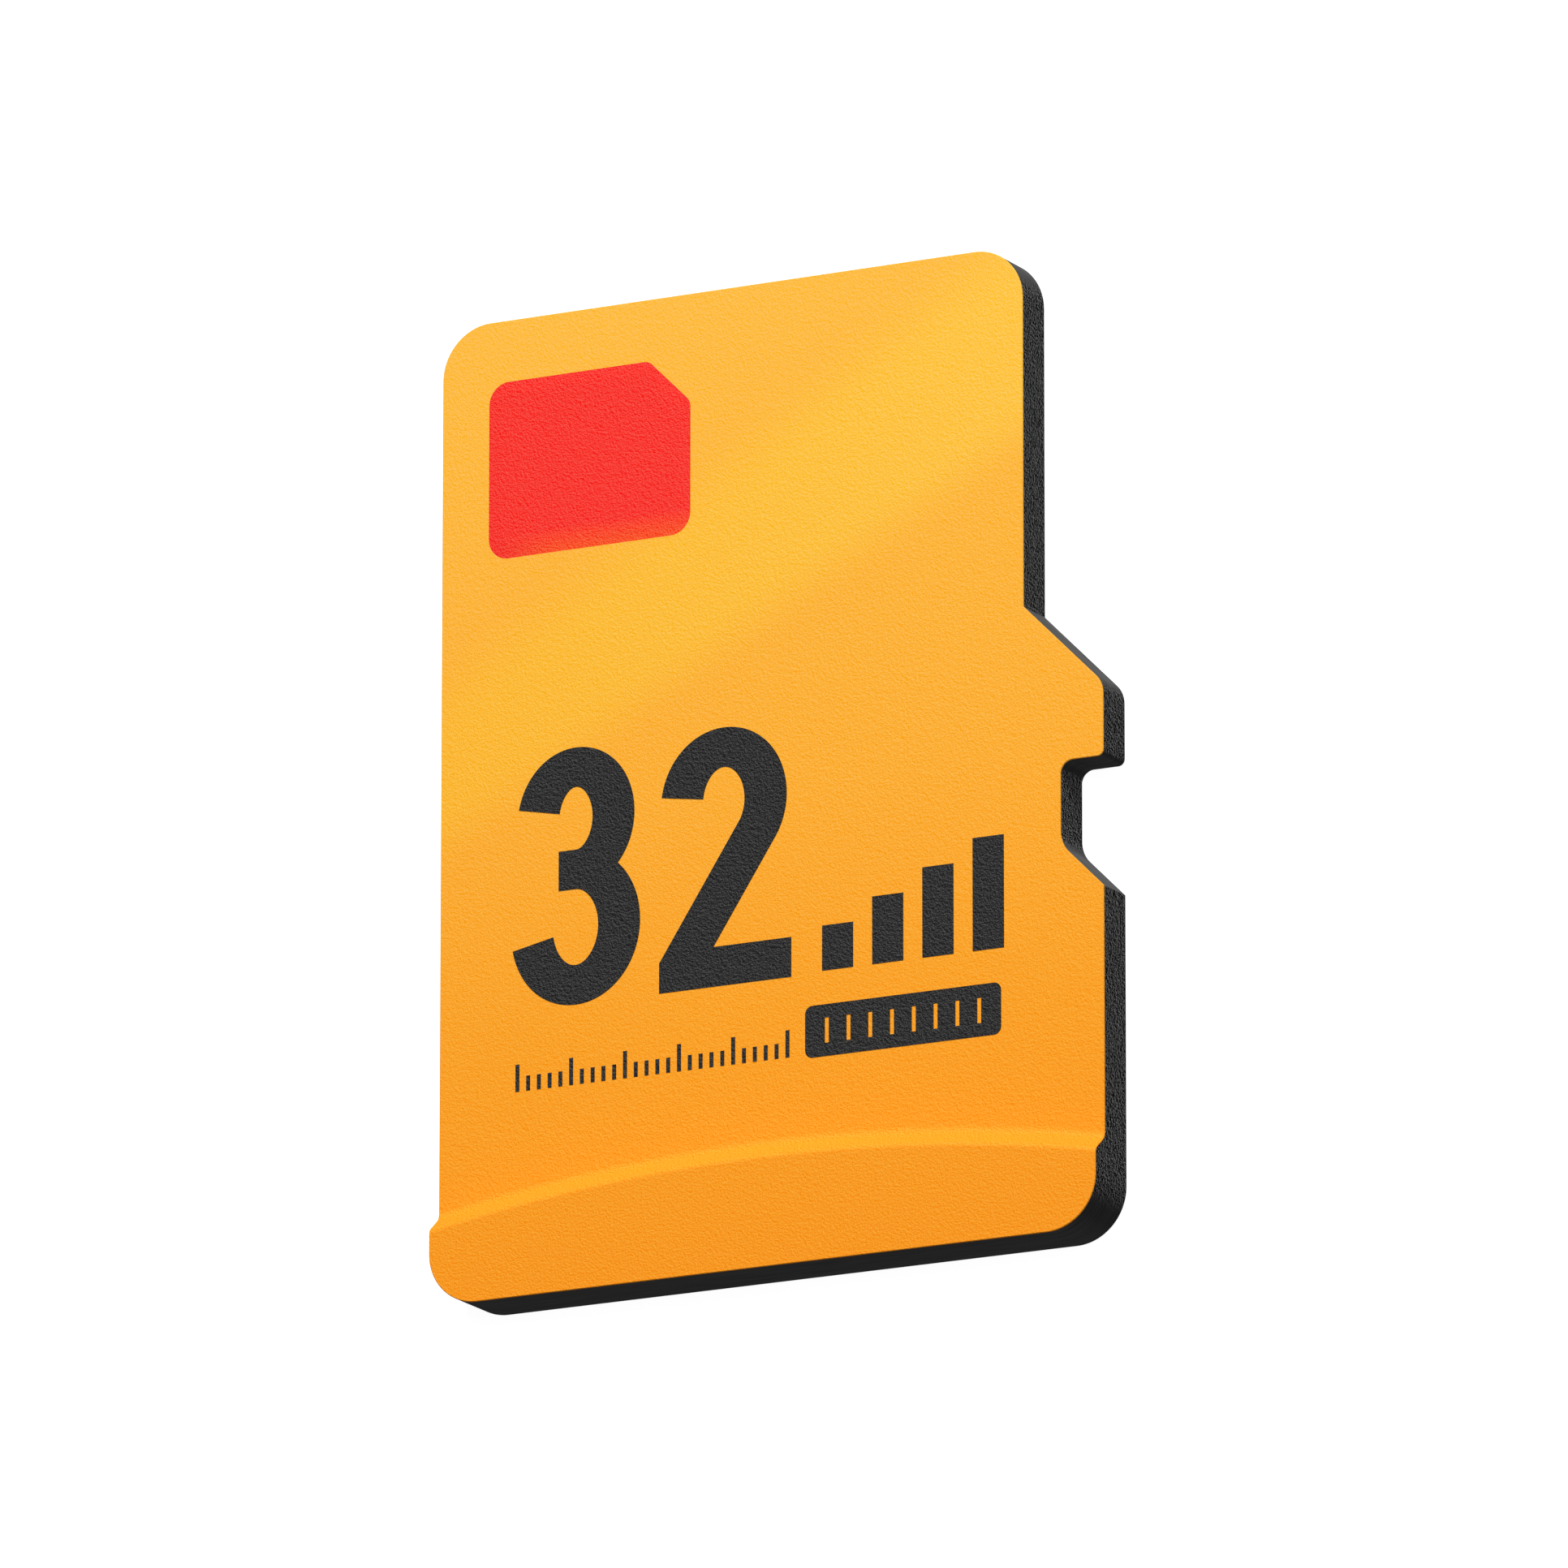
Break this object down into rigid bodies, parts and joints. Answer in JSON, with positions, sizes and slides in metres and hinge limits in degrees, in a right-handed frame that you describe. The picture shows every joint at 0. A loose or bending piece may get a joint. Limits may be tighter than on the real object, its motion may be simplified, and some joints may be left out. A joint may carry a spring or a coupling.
{
  "type": "microsd card",
  "caption": "Thin removable memory card with a notched edge, a curved raised grip lip, a printed front and a row of gold contact pads on its back",
  "frame": {"origin": "middle of the card's outline, on its back face", "axes": "+X to the notched long edge, +Y to the contact end, +Z out of the printed front; the card lies on its contact side"},
  "size_m": [0.011, 0.015, 0.001],
  "materials": {
    "mould": "fine-grained moulded epoxy",
    "coat": "satin printed coat with a fine pebble grain",
    "red_ink": "printed field",
    "laminate": "sawn laminate edge",
    "solder_mask": "satin solder mask",
    "contact_gold": "gold plating",
    "wire_gold": "drawn gold wire",
    "silicon": "polished silicon",
    "attach_film": "adhesive film",
    "ceramic": "fired ceramic",
    "tin": "tin plating",
    "copper": "etched copper"
  },
  "bodies": {
    "root": {"moulded_body": "mould", "front_coat": "coat", "red_field": "red_ink", "substrate_board": "laminate", "back_solder_mask": "solder_mask", "contact_1": "contact_gold", "contact_2": "contact_gold", "contact_3": "contact_gold", "contact_4": "contact_gold", "contact_5": "contact_gold", "contact_6": "contact_gold", "contact_7": "contact_gold", "contact_8": "contact_gold", "flash_bond_fingers": "contact_gold", "controller_bond_fingers": "contact_gold", "flash_bond_wires": "wire_gold", "controller_bond_wires": "wire_gold", "flash_die_lower": "silicon", "flash_die_upper": "silicon", "controller_die": "silicon", "flash_film_lower": "attach_film", "flash_film_upper": "attach_film", "controller_film": "attach_film", "capacitor_1": "ceramic", "capacitor_2": "ceramic", "capacitor_3": "ceramic", "capacitor_terminals": "tin", "contact_tracks": "copper", "memory_tracks": "copper", "capacitor_lands": "copper"}
  },
  "joints": []
}
